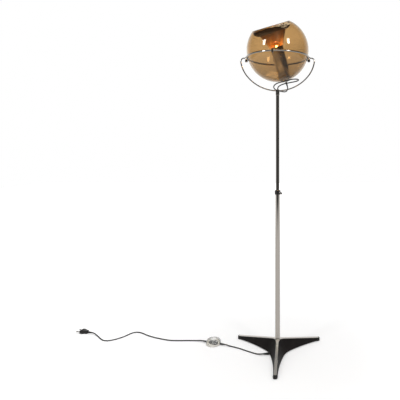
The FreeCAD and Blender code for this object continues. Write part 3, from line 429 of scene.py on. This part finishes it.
def round_curve(name, points, radius, material, sides, steps):
    """A round wire or cord as a smooth NURBS curve through its control points."""
    data = bpy.data.curves.new(name, "CURVE")
    data.dimensions = "3D"
    data.bevel_depth = radius
    data.bevel_resolution = sides
    data.resolution_u = steps
    spline = data.splines.new("NURBS")
    spline.points.add(len(points) - 1)
    for point, where in zip(spline.points, points):
        point.co = (*where, 1.0)
    spline.order_u = 3
    spline.use_endpoint_u = True
    data.materials.append(material)
    piece = bpy.data.objects.new(name, data)
    bpy.context.scene.collection.objects.link(piece)
    return piece


def cord_curve(name, points, radius, material, body, *nodes):
    """A cord along its route, which rides on a body and stands for CAD nodes."""
    piece = round_curve(name, points, radius, material, sides=4, steps=8)
    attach(piece, body)
    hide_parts(*nodes)
    return piece


def strain_relief(name, start, end, wide, narrow, material, body, node, grip=0.003):
    """A tapered sleeve, with a plain grip and then ribs."""
    rings, groove = 6, 0.00055
    length = (Vector(end) - Vector(start)).length
    profile = [(narrow - 0.0002, 0.0), (wide, 0.0)]
    pitch = (length - grip) * 0.94 / rings
    for k in range(rings):
        low = grip + pitch * k
        r = wide + (narrow - wide) * (low - grip) / (length - grip)
        profile += [(r, low), (r, low + pitch * 0.55),
                    (r - groove, low + pitch * 0.62), (r - groove, low + pitch * 0.93)]
    profile += [(narrow, length), (narrow - 0.0003, length)]
    profile.append(profile[0])
    bm = turned(profile, along(start, end), steps=40)
    return settle(name, bm, material, body, "rubber", node, crease=30.0)


# ---------------------------------------------------------------- operators
class LAMP_OT_stage(bpy.types.Operator):
    """Set the camera, the softboxes, the room's light and the pale floor"""
    bl_idname = "floor_lamp.stage"
    bl_label = "Stage"

    def execute(self, context):
        settings = context.scene.lamp_stage
        scene = context.scene
        scene.view_settings.view_transform = "Standard"
        camera = bpy.data.objects.new("camera", bpy.data.cameras.new("camera"))
        scene.collection.objects.link(camera)
        camera.location = settings.eye
        camera.rotation_euler = (math.radians(90), 0, 0)
        camera.data.lens = settings.lens
        camera.data.shift_x, camera.data.shift_y = settings.shift
        camera.data.clip_end = 60
        scene.camera = camera
        self.softbox("softbox left", (-1.48, -1.30, 1.83), (0.36, 0.62), settings.box_power)
        self.softbox("softbox right", (1.22, -1.53, 1.94), (0.36, 0.62), settings.box_power)
        self.softbox("softbox top", (0.0, 0.3, 3.5), (1.8, 1.8), settings.top_power,
                     glossy=False)
        self.softbox("strip top", (-0.22, 0.15, 3.2), (0.5, 1.1), settings.strip_power)
        self.floor(settings)
        self.room(settings)
        return {"FINISHED"}

    def softbox(self, name, where, size, power, glossy=True):
        data = bpy.data.lights.new(name, "AREA")
        data.shape = "RECTANGLE"
        data.size, data.size_y = size
        data.energy = power
        lamp = bpy.data.objects.new(name, data)
        bpy.context.scene.collection.objects.link(lamp)
        lamp.matrix_world = (Matrix.Translation(where)
                             @ (SOFTBOX_AIM - Vector(where))
                             .to_track_quat("-Z", "Y").to_matrix().to_4x4())
        lamp.visible_camera = False
        lamp.visible_glossy = glossy

    def seen(self, tree):
        """1 for rays that see the background: from the camera, or through glass before any
        mirror.
        """
        path = put(tree, "LightPath")
        through = put(tree, "Math", path.outputs["Is Transmission Ray"],
                      unmirrored(tree, path), operation="MULTIPLY")
        either = put(tree, "Math", path.outputs["Is Camera Ray"], through.outputs["Value"],
                     operation="MAXIMUM")
        return either.outputs["Value"], path

    def floor(self, settings):
        bm = bmesh.new()
        bmesh.ops.create_grid(bm, x_segments=8, y_segments=8, size=1.0)
        bmesh.ops.scale(bm, vec=(6.0, 7.0, 1.0), verts=bm.verts)
        bmesh.ops.translate(bm, vec=(0, 1.5, 0), verts=bm.verts)
        mesh = bpy.data.meshes.new("floor")
        bm.to_mesh(mesh)
        bm.free()
        floor = bpy.data.objects.new("floor", mesh)
        bpy.context.scene.collection.objects.link(floor)
        material, tree, shader = new_finish(
            "pale floor", Roughness=0.7, Specular_IOR_Level=0.2,
            Emission_Color=(1, 1, 1, 1), Base_Color=rgba(settings.floor_colour))
        sees, path = self.seen(tree)
        spread = put(tree, "VectorMath", put(tree, "TexCoord").outputs["Object"],
                     operation="LENGTH")
        lift = span(tree, spread.outputs["Value"], settings.floor_lift, 1.0, 0.3, 4.0)
        glow = put(tree, "Math", sees, lift, operation="MULTIPLY")
        tree.links.new(glow.outputs["Value"], shader.inputs["Emission Strength"])
        axes = put(tree, "SeparateXYZ", put(tree, "TexCoord").outputs["Object"])
        # The floor as mirrors see it: dark near the camera, pale under the lamp and beyond
        near = span(tree, axes.outputs["Y"], 0.04, 0.46, -4.4, -1.9)
        beyond = span(tree, axes.outputs["Y"], 0.0, 0.45, 1.0, 4.5)
        level = put(tree, "Math", near, beyond, operation="ADD")
        mirrored = put(tree, "Emission")
        tree.links.new(level.outputs["Value"], mirrored.inputs["Strength"])
        both = put(tree, "MixShader", path.outputs["Is Glossy Ray"], shader.outputs["BSDF"],
                   mirrored.outputs["Emission"])
        tree.links.new(both.outputs["Shader"],
                       tree.nodes["Material Output"].inputs["Surface"])
        mesh.materials.append(material)

    def room(self, settings):
        world = bpy.context.scene.world or bpy.data.worlds.new("room")
        bpy.context.scene.world = world
        world.use_nodes = True
        tree = world.node_tree
        background = tree.nodes["Background"]
        sees, path = self.seen(tree)
        way = put(tree, "SeparateXYZ", put(tree, "TexCoord").outputs["Generated"])
        # The room as mirrors see it: dark in front, bright behind the lamp, dimmer overhead
        behind = span(tree, way.outputs["Y"], 0.045, 1.0, 0.35, 0.85)
        low = span(tree, way.outputs["Z"], 1.0, 0.60, 0.15, 0.75)
        mirror = put(tree, "Math", behind, low, operation="MULTIPLY")
        after = put(tree, "Math", path.outputs["Glossy Depth"], operation="GREATER_THAN")
        after.inputs[1].default_value = 0.5
        room = put(tree, "MapRange", after.outputs["Value"])
        room.inputs["To Min"].default_value = settings.sky
        tree.links.new(mirror.outputs["Value"], room.inputs["To Max"])
        level = put(tree, "MapRange", sees, To_Max=1.0)
        tree.links.new(room.outputs["Result"], level.inputs["To Min"])
        tree.links.new(level.outputs["Result"], background.inputs["Strength"])
        background.inputs["Color"].default_value = (1, 1, 1, 1)


class LAMP_OT_base(bpy.types.Operator):
    """Finish the iron casting, the steel ridge and the feet"""
    bl_idname = "floor_lamp.base"
    bl_label = "Base"

    def execute(self, context):
        metal = context.scene.lamp_metal
        cover(painted_iron(metal.iron), "base_casting")
        cover(brushed_steel(metal.steel), "ridge_plate")
        rubber = moulded("foot rubber", (0.014, 0.013, 0.012), roughness=0.30)
        for index, node in enumerate(("foot_front", "foot_right", "foot_left")):
            self.foot(node, math.radians(FIRST_LEG + 120.0 * index), rubber)
        cover(polished("zinc plate", (0.55, 0.55, 0.53), roughness=0.28, smudge=0.14),
              "stem_washer", "stem_nut")
        return {"FINISHED"}

    def foot(self, node, turn, rubber):
        """A moulded nose that closes the leg's end, over a round glide."""
        placing = Matrix.Rotation(turn, 4, "Z")
        bm = bmesh.new()
        bmesh.ops.create_cube(bm, size=1.0)
        bmesh.ops.scale(bm, vec=NOSE_SIZE, verts=bm.verts)
        bmesh.ops.translate(bm, vec=NOSE_CENTRE, verts=bm.verts)
        # Narrower and a little higher at the top, then rounded at its two front corners
        taper, lift = 0.86, 0.0009
        upper = [v for v in bm.verts if v.co.z > NOSE_CENTRE[2]]
        bmesh.ops.scale(bm, vec=(1, taper, 1), verts=upper)
        bmesh.ops.translate(bm, vec=(0, 0, lift), verts=upper)
        nose = [e for e in bm.edges
                if min(v.co.x for v in e.verts) > NOSE_FRONT - 0.001
                and abs(e.verts[0].co.z - e.verts[1].co.z) > NOSE_SIZE[2] / 2]
        bevelled(bm, nose, NOSE_ROUND, 8)
        bevelled(bm, sharper(bm, 35), 0.0010, 3)
        bmesh.ops.transform(bm, matrix=placing, verts=bm.verts)
        settle(node + "_nose", bm, rubber, "base", "rubber", node, crease=50.0)
        glide = turned(GLIDE_OUTLINE, placing @ Matrix.Translation((GLIDE_REACH, 0, 0)),
                       steps=48)
        settle(node + "_glide", glide, rubber, "base", "rubber", crease=60.0)


class LAMP_OT_stem(bpy.types.Operator):
    """Finish the tubes, the collar and its thumb screw"""
    bl_idname = "floor_lamp.stem"
    bl_label = "Stem"

    def execute(self, context):
        metal = context.scene.lamp_metal
        cover(polished("stem chrome", metal.chrome, 0.04, 0.05), "lower_tube", "upper_tube",
              "ferrule", "slider_ring")
        cover(polished("collar dark chrome", (0.30, 0.28, 0.27), 0.10, 0.1), "collar")
        cover(polished("thumb screw nickel", (0.72, 0.69, 0.64), 0.12, 0.12), "collar_screw")
        cover(moulded("nylon", (0.66, 0.64, 0.58), roughness=0.4), "stem_foot_bush",
              "stem_liner", "slider", "tube_end", "ferrule_bush")
        return {"FINISHED"}


class LAMP_OT_head(bpy.types.Operator):
    """Finish the yoke, the ring and their screws"""
    bl_idname = "floor_lamp.head"
    bl_label = "Yoke and ring"

    def execute(self, context):
        metal = context.scene.lamp_metal
        cover(polished("wire chrome", rgba(metal.chrome, WIRE_SHADE), 0.035, 0.05),
              "yoke_left", "yoke_right", "ring_left", "ring_right", "pivot_barrel_left",
              "pivot_barrel_right", "clamp_screw_upper", "clamp_screw_lower")
        # The ring's back arc gets a darker copy of the chrome: painted shade, not another
        # plating
        cover(polished("ring chrome with painted shade", rgba(metal.chrome, RING_BACK_PAINTED_SHADE), 0.08, 0.06),
              "ring_back")
        cover(polished("clamp black chrome", (0.06, 0.055, 0.05), 0.16, 0.1),
              "clamp_lug_left", "clamp_lug_right")
        cover(polished("pivot screw black chrome", (0.07, 0.062, 0.056), 0.18, 0.1),
              "pivot_screw_left", "pivot_screw_right")
        return {"FINISHED"}


class LAMP_OT_globe(bpy.types.Operator):
    """Blow the smoked globe, with a fire-polished mouth, and finish its fittings"""
    bl_idname = "floor_lamp.globe"
    bl_label = "Globe"

    def execute(self, context):
        settings = context.scene.lamp_globe
        metal = context.scene.lamp_metal
        r = settings.radius
        bm = bmesh.new()
        bmesh.ops.create_uvsphere(bm, u_segments=160, v_segments=112, radius=r)
        for reach, up in ((settings.mouth, 1), (settings.hole, -1)):
            cut_flat(bm, up * math.sqrt(r * r - reach * reach), up)
        bmesh.ops.recalc_face_normals(bm, faces=bm.faces)
        bmesh.ops.solidify(bm, geom=bm.faces[:], thickness=settings.wall)
        mouth = [e for e in bm.edges
                 if abs(e.calc_face_angle(0.0)) > math.radians(30) and e.verts[0].co.z > 0]
        bevelled(bm, mouth, settings.wall * 0.46, 5)
        bmesh.ops.transform(bm, matrix=GLOBE_FRAME, verts=bm.verts)
        glass = smoked_glass(settings.tint_high, settings.tint_low)
        settle("globe", bm, glass, "globe", "smoked_glass", "globe_glass", crease=60.0)
        cover(moulded("globe gasket rubber", (0.012, 0.012, 0.012), roughness=0.5),
              "gasket_under", "gasket_inside")
        cover(polished("fitting chrome", metal.chrome, 0.05, 0.05), "globe_disc",
              "tube_foot", "gland")
        cover(polished("tube satin chrome", metal.chrome, 0.10, 0.03), "lamp_tube")
        cover(polished("reflector bronze", (0.09, 0.062, 0.045), 0.42, 0.10, metallic=0.3),
              "reflector")
        cover(polished("brass", (0.62, 0.44, 0.20), 0.2, 0.15), "nipple", "nipple_nut")
        cover(moulded("lampholder phenolic", (0.02, 0.018, 0.017), roughness=0.3, coat=0.3),
              "lampholder")
        return {"FINISHED"}


class LAMP_OT_bulb(bpy.types.Operator):
    """Make the lit bulb: envelope, mount, filament and cap"""
    bl_idname = "floor_lamp.bulb"
    bl_label = "Bulb"

    def execute(self, context):
        settings = context.scene.lamp_bulb
        r, high = settings.radius, settings.height
        # The neck's radius, how much wider it starts at the bulb, and where it ends
        neck, flare, shut = 0.0125, 0.0012, -0.006
        bm = bmesh.new()
        bmesh.ops.create_uvsphere(bm, u_segments=72, v_segments=48, radius=r)
        waist = -math.sqrt(r * r - (neck + flare) ** 2)
        cut_flat(bm, waist, -1)
        bmesh.ops.translate(bm, vec=(0, 0, high), verts=bm.verts)
        rim = [e for e in bm.edges if e.is_boundary]
        lower = new_verts(bmesh.ops.extrude_edge_only(bm, edges=rim))
        bmesh.ops.translate(bm, vec=(0, 0, shut - waist - high), verts=lower)
        bmesh.ops.scale(bm, vec=(neck / (neck + flare),) * 2 + (1,), verts=lower)
        bmesh.ops.recalc_face_normals(bm, faces=bm.faces)
        bmesh.ops.solidify(bm, geom=bm.faces[:], thickness=0.0006)
        bmesh.ops.transform(bm, matrix=GLOBE_FRAME, verts=bm.verts)
        material, tree, shader = new_finish(
            "bulb glass", Base_Color=(1.0, 0.86, 0.66, 1), IOR=1.45,
            Transmission_Weight=1.0)
        tree.links.new(span(tree, grain(tree, 60.0), 0.0, 0.03), shader.inputs["Roughness"])
        lets_lamps_through(tree, shader, (1.0, 0.9, 0.75, 1))
        settle("bulb_envelope", bm, material, "globe", "bulb_glass", "bulb", crease=50.0)
        self.mount(settings)
        self.warmth(settings)
        cover(polished("cap nickel", (0.60, 0.57, 0.52), 0.2, 0.15), "lamp_cap")
        return {"FINISHED"}

    def warmth(self, settings):
        """A small lamp where the filament is, which lights the reflector behind the bulb."""
        data = bpy.data.lights.new("bulb light", "POINT")
        data.energy = settings.power
        data.color = settings.colour
        data.shadow_soft_size = 0.004
        lamp = bpy.data.objects.new("bulb light", data)
        bpy.context.scene.collection.objects.link(lamp)
        lamp.matrix_world = GLOBE_FRAME @ Matrix.Translation((0, 0, settings.height))
        lamp.visible_camera = False
        lamp.visible_glossy = False
        lamp.parent = bpy.data.objects["bulb_envelope"]

    def mount(self, settings):
        high = settings.height
        profile = [(0.0, -0.006), (0.0075, -0.006), (0.0060, 0.001), (0.0028, 0.006),
                   (0.0022, high - 0.006), (0.0030, high - 0.004), (0.0, high - 0.003)]
        bm = turned(profile, GLOBE_FRAME, steps=32)
        material, tree, shader = new_finish(
            "mount glass", Base_Color=(0.95, 0.92, 0.86, 1), IOR=1.45,
            Transmission_Weight=1.0)
        tree.links.new(span(tree, grain(tree, 80.0), 0.0, 0.08), shader.inputs["Roughness"])
        lets_lamps_through(tree, shader, (0.95, 0.92, 0.86, 1))
        settle("bulb_mount", bm, material, "globe", "bulb_glass")
        glow, tree, shader = new_finish(
            "lit filament", Base_Color=(0.2, 0.1, 0.05, 1),
            Emission_Color=rgba(settings.colour))
        heat = span(tree, grain(tree, 260.0), settings.glow * 0.85, settings.glow * 1.1)
        shown = put(tree, "Math", heat, unmirrored(tree, put(tree, "LightPath")),
                    operation="MULTIPLY")
        tree.links.new(shown.outputs["Value"], shader.inputs["Emission Strength"])
        crown = 0.0036
        filament = self.wire("bulb_filament", 0.00045, glow, "bulb_glass", [
            self.spoke(k, crown, high + (0.004 if k % 2 else -0.003)) for k in range(9)])
        filament.visible_glossy = False
        wires = polished("mount wire", (0.6, 0.55, 0.5), 0.2, 0.1)
        for number, k in enumerate((0, 2, 4, 6, 8)):
            self.wire("bulb_wire_%d" % (number + 1), 0.0002, wires, "bulb_glass", [
                self.spoke(k, 0.0015, high - 0.005), self.spoke(k, 0.0028, high - 0.0045),
                self.spoke(k, crown, high - 0.003)])

    def spoke(self, k, reach, height):
        """The k-th of nine places round the mount."""
        turn = k * math.pi / 4.5
        return reach * math.cos(turn), reach * math.sin(turn), height

    def wire(self, name, radius, material, slot, points):
        """A wire with closed ends, through points in the globe's own frame."""
        placed = [GLOBE_FRAME @ Vector(point) for point in points]
        piece = round_curve(name, placed, radius, material, sides=2, steps=5)
        piece.data.use_fill_caps = True
        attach(piece, "globe")
        return piece


class LAMP_OT_cords(bpy.types.Operator):
    """Lay the cord in the head, under the base and along the floor"""
    bl_idname = "floor_lamp.cords"
    bl_label = "Cords"

    def execute(self, context):
        settings = context.scene.lamp_cord
        jacket = moulded("cord jacket", settings.colour, roughness=0.42, fine=900.0,
                         depth=0.00003)
        rubber = moulded("relief rubber", (0.016, 0.015, 0.015), roughness=0.48)
        width = settings.diameter
        wide, narrow = 0.0036, width / 2 + 0.00035
        strain_relief("relief_globe", Vector(HEAD_ROUTE[0]) + GLOBE_AXIS * 0.020,
                      HEAD_ROUTE[0], wide, narrow, rubber, "globe", "globe_relief")
        strain_relief("relief_base", BASE_ROUTE[-1], FLOOR_TO_SWITCH[0], 0.0044, narrow,
                      rubber, "base", "exit_relief", grip=0.010)
        cover(rubber, "switch_relief_in", "switch_relief_out")
        plug = strain_relief("relief_plug", PLUG_START, FLOOR_TO_PLUG[-1],
                             wide, narrow, rubber, "base", "plug_relief")
        head = cord_curve("cord_head", HEAD_ROUTE, width / 2, jacket, "column", "head_cord")
        base = cord_curve("cord_base", BASE_ROUTE, width / 2, jacket, "base", "base_cord")
        first = cord_curve("cord_to_switch", FLOOR_TO_SWITCH, width / 2, jacket, "base",
                           "floor_cord_a")
        second = cord_curve("cord_to_plug", FLOOR_TO_PLUG, width / 2, jacket, "base",
                            "floor_cord_b")
        return {"FINISHED"}


class LAMP_OT_switch(bpy.types.Operator):
    """Finish the round foot switch"""
    bl_idname = "floor_lamp.switch"
    bl_label = "Foot switch"

    def execute(self, context):
        cover(moulded("switch base plastic", (0.78, 0.75, 0.69), roughness=0.3, coat=0.3),
              "switch_base")
        cover(clear_plastic(), "switch_cover")
        cover(moulded("switch block plastic", (0.03, 0.03, 0.03), roughness=0.4),
              "switch_block")
        cap = moulded("switch button plastic", (0.80, 0.79, 0.76), roughness=0.25, coat=0.4)
        bm = turned(BUTTON_OUTLINE, Matrix.Translation(SWITCH_CENTRE))
        settle("switch_cap", bm, cap, "button", "switch_clear", "switch_button", crease=50.0)
        return {"FINISHED"}


class LAMP_OT_plug(bpy.types.Operator):
    """Finish the flat plug and its pins"""
    bl_idname = "floor_lamp.plug"
    bl_label = "Plug"

    def execute(self, context):
        plastic = moulded("plug plastic", (0.02, 0.019, 0.018), roughness=0.4)
        half = PLUG_HALF_DEPTH
        bm = bmesh.new()
        outline = [bm.verts.new((x, -half, z)) for x, z in PLUG_OUTLINE]
        outline += [bm.verts.new((-x, -half, z)) for x, z in reversed(PLUG_OUTLINE)]
        grown = bmesh.ops.extrude_face_region(bm, geom=[bm.faces.new(outline)])
        bmesh.ops.translate(bm, vec=(0, 2 * half, 0), verts=new_verts(grown))
        bmesh.ops.recalc_face_normals(bm, faces=bm.faces)
        bevelled(bm, sharper(bm, 60), 0.0018, 4)
        # Four grip ribs across the top
        rib_size, first_rib, pitch = (0.0170, 0.0012, 0.0011), 0.0225, 0.0026
        for k in range(4):
            rib = bmesh.ops.create_cube(bm, size=1.0)["verts"]
            bmesh.ops.scale(bm, vec=rib_size, verts=rib)
            bmesh.ops.translate(bm, vec=(0, half, first_rib + pitch * k), verts=rib)
            bevelled(bm, list({e for v in rib for e in v.link_edges}), 0.00028, 2)
        bmesh.ops.transform(bm, matrix=along(PLUG_START, PLUG_START + PLUG_WAY),
                            verts=bm.verts)
        settle("plug_shell", bm, plastic, "base", "black_plastic", "plug_body", crease=50.0)
        cover(polished("pin nickel", (0.66, 0.62, 0.55), 0.15, 0.12), "plug_pin_a",
              "plug_pin_b")
        return {"FINISHED"}


class LAMP_PT_panel(bpy.types.Panel):
    """Sizes and colours of the lamp, and the steps that finish it"""
    bl_label = "Floor lamp"
    bl_idname = "LAMP_PT_panel"
    bl_space_type = "VIEW_3D"
    bl_region_type = "UI"
    bl_category = "Floor lamp"

    def draw(self, context):
        for owner in SETTINGS:
            box = self.layout.box()
            settings = getattr(context.scene, owner)
            for key in settings.bl_rna.properties.keys():
                if key not in {"rna_type", "name"}:
                    box.prop(settings, key)
        for operator in OPERATORS:
            self.layout.operator(operator.bl_idname)


SETTINGS = {
    "lamp_stage": LampStageSettings,
    "lamp_globe": LampGlobeSettings,
    "lamp_bulb": LampBulbSettings,
    "lamp_metal": LampMetalSettings,
    "lamp_cord": LampCordSettings,
}
OPERATORS = (LAMP_OT_stage, LAMP_OT_switch, LAMP_OT_plug, LAMP_OT_cords, LAMP_OT_base,
             LAMP_OT_stem, LAMP_OT_head, LAMP_OT_globe, LAMP_OT_bulb)


def register():
    for name, group in SETTINGS.items():
        bpy.utils.register_class(group)
        setattr(bpy.types.Scene, name, bpy.props.PointerProperty(type=group))
    for operator in OPERATORS:
        bpy.utils.register_class(operator)
    bpy.utils.register_class(LAMP_PT_panel)


def unregister():
    bpy.utils.unregister_class(LAMP_PT_panel)
    for operator in reversed(OPERATORS):
        bpy.utils.unregister_class(operator)
    for name, group in reversed(SETTINGS.items()):
        delattr(bpy.types.Scene, name)
        bpy.utils.unregister_class(group)


def main():
    register()
    bpy.ops.floor_lamp.stage()
    bpy.ops.floor_lamp.switch()
    bpy.ops.floor_lamp.plug()
    bpy.ops.floor_lamp.cords()
    bpy.ops.floor_lamp.base()
    bpy.ops.floor_lamp.stem()
    bpy.ops.floor_lamp.head()
    bpy.ops.floor_lamp.globe()
    bpy.ops.floor_lamp.bulb()


if __name__ == "__main__":
    main()
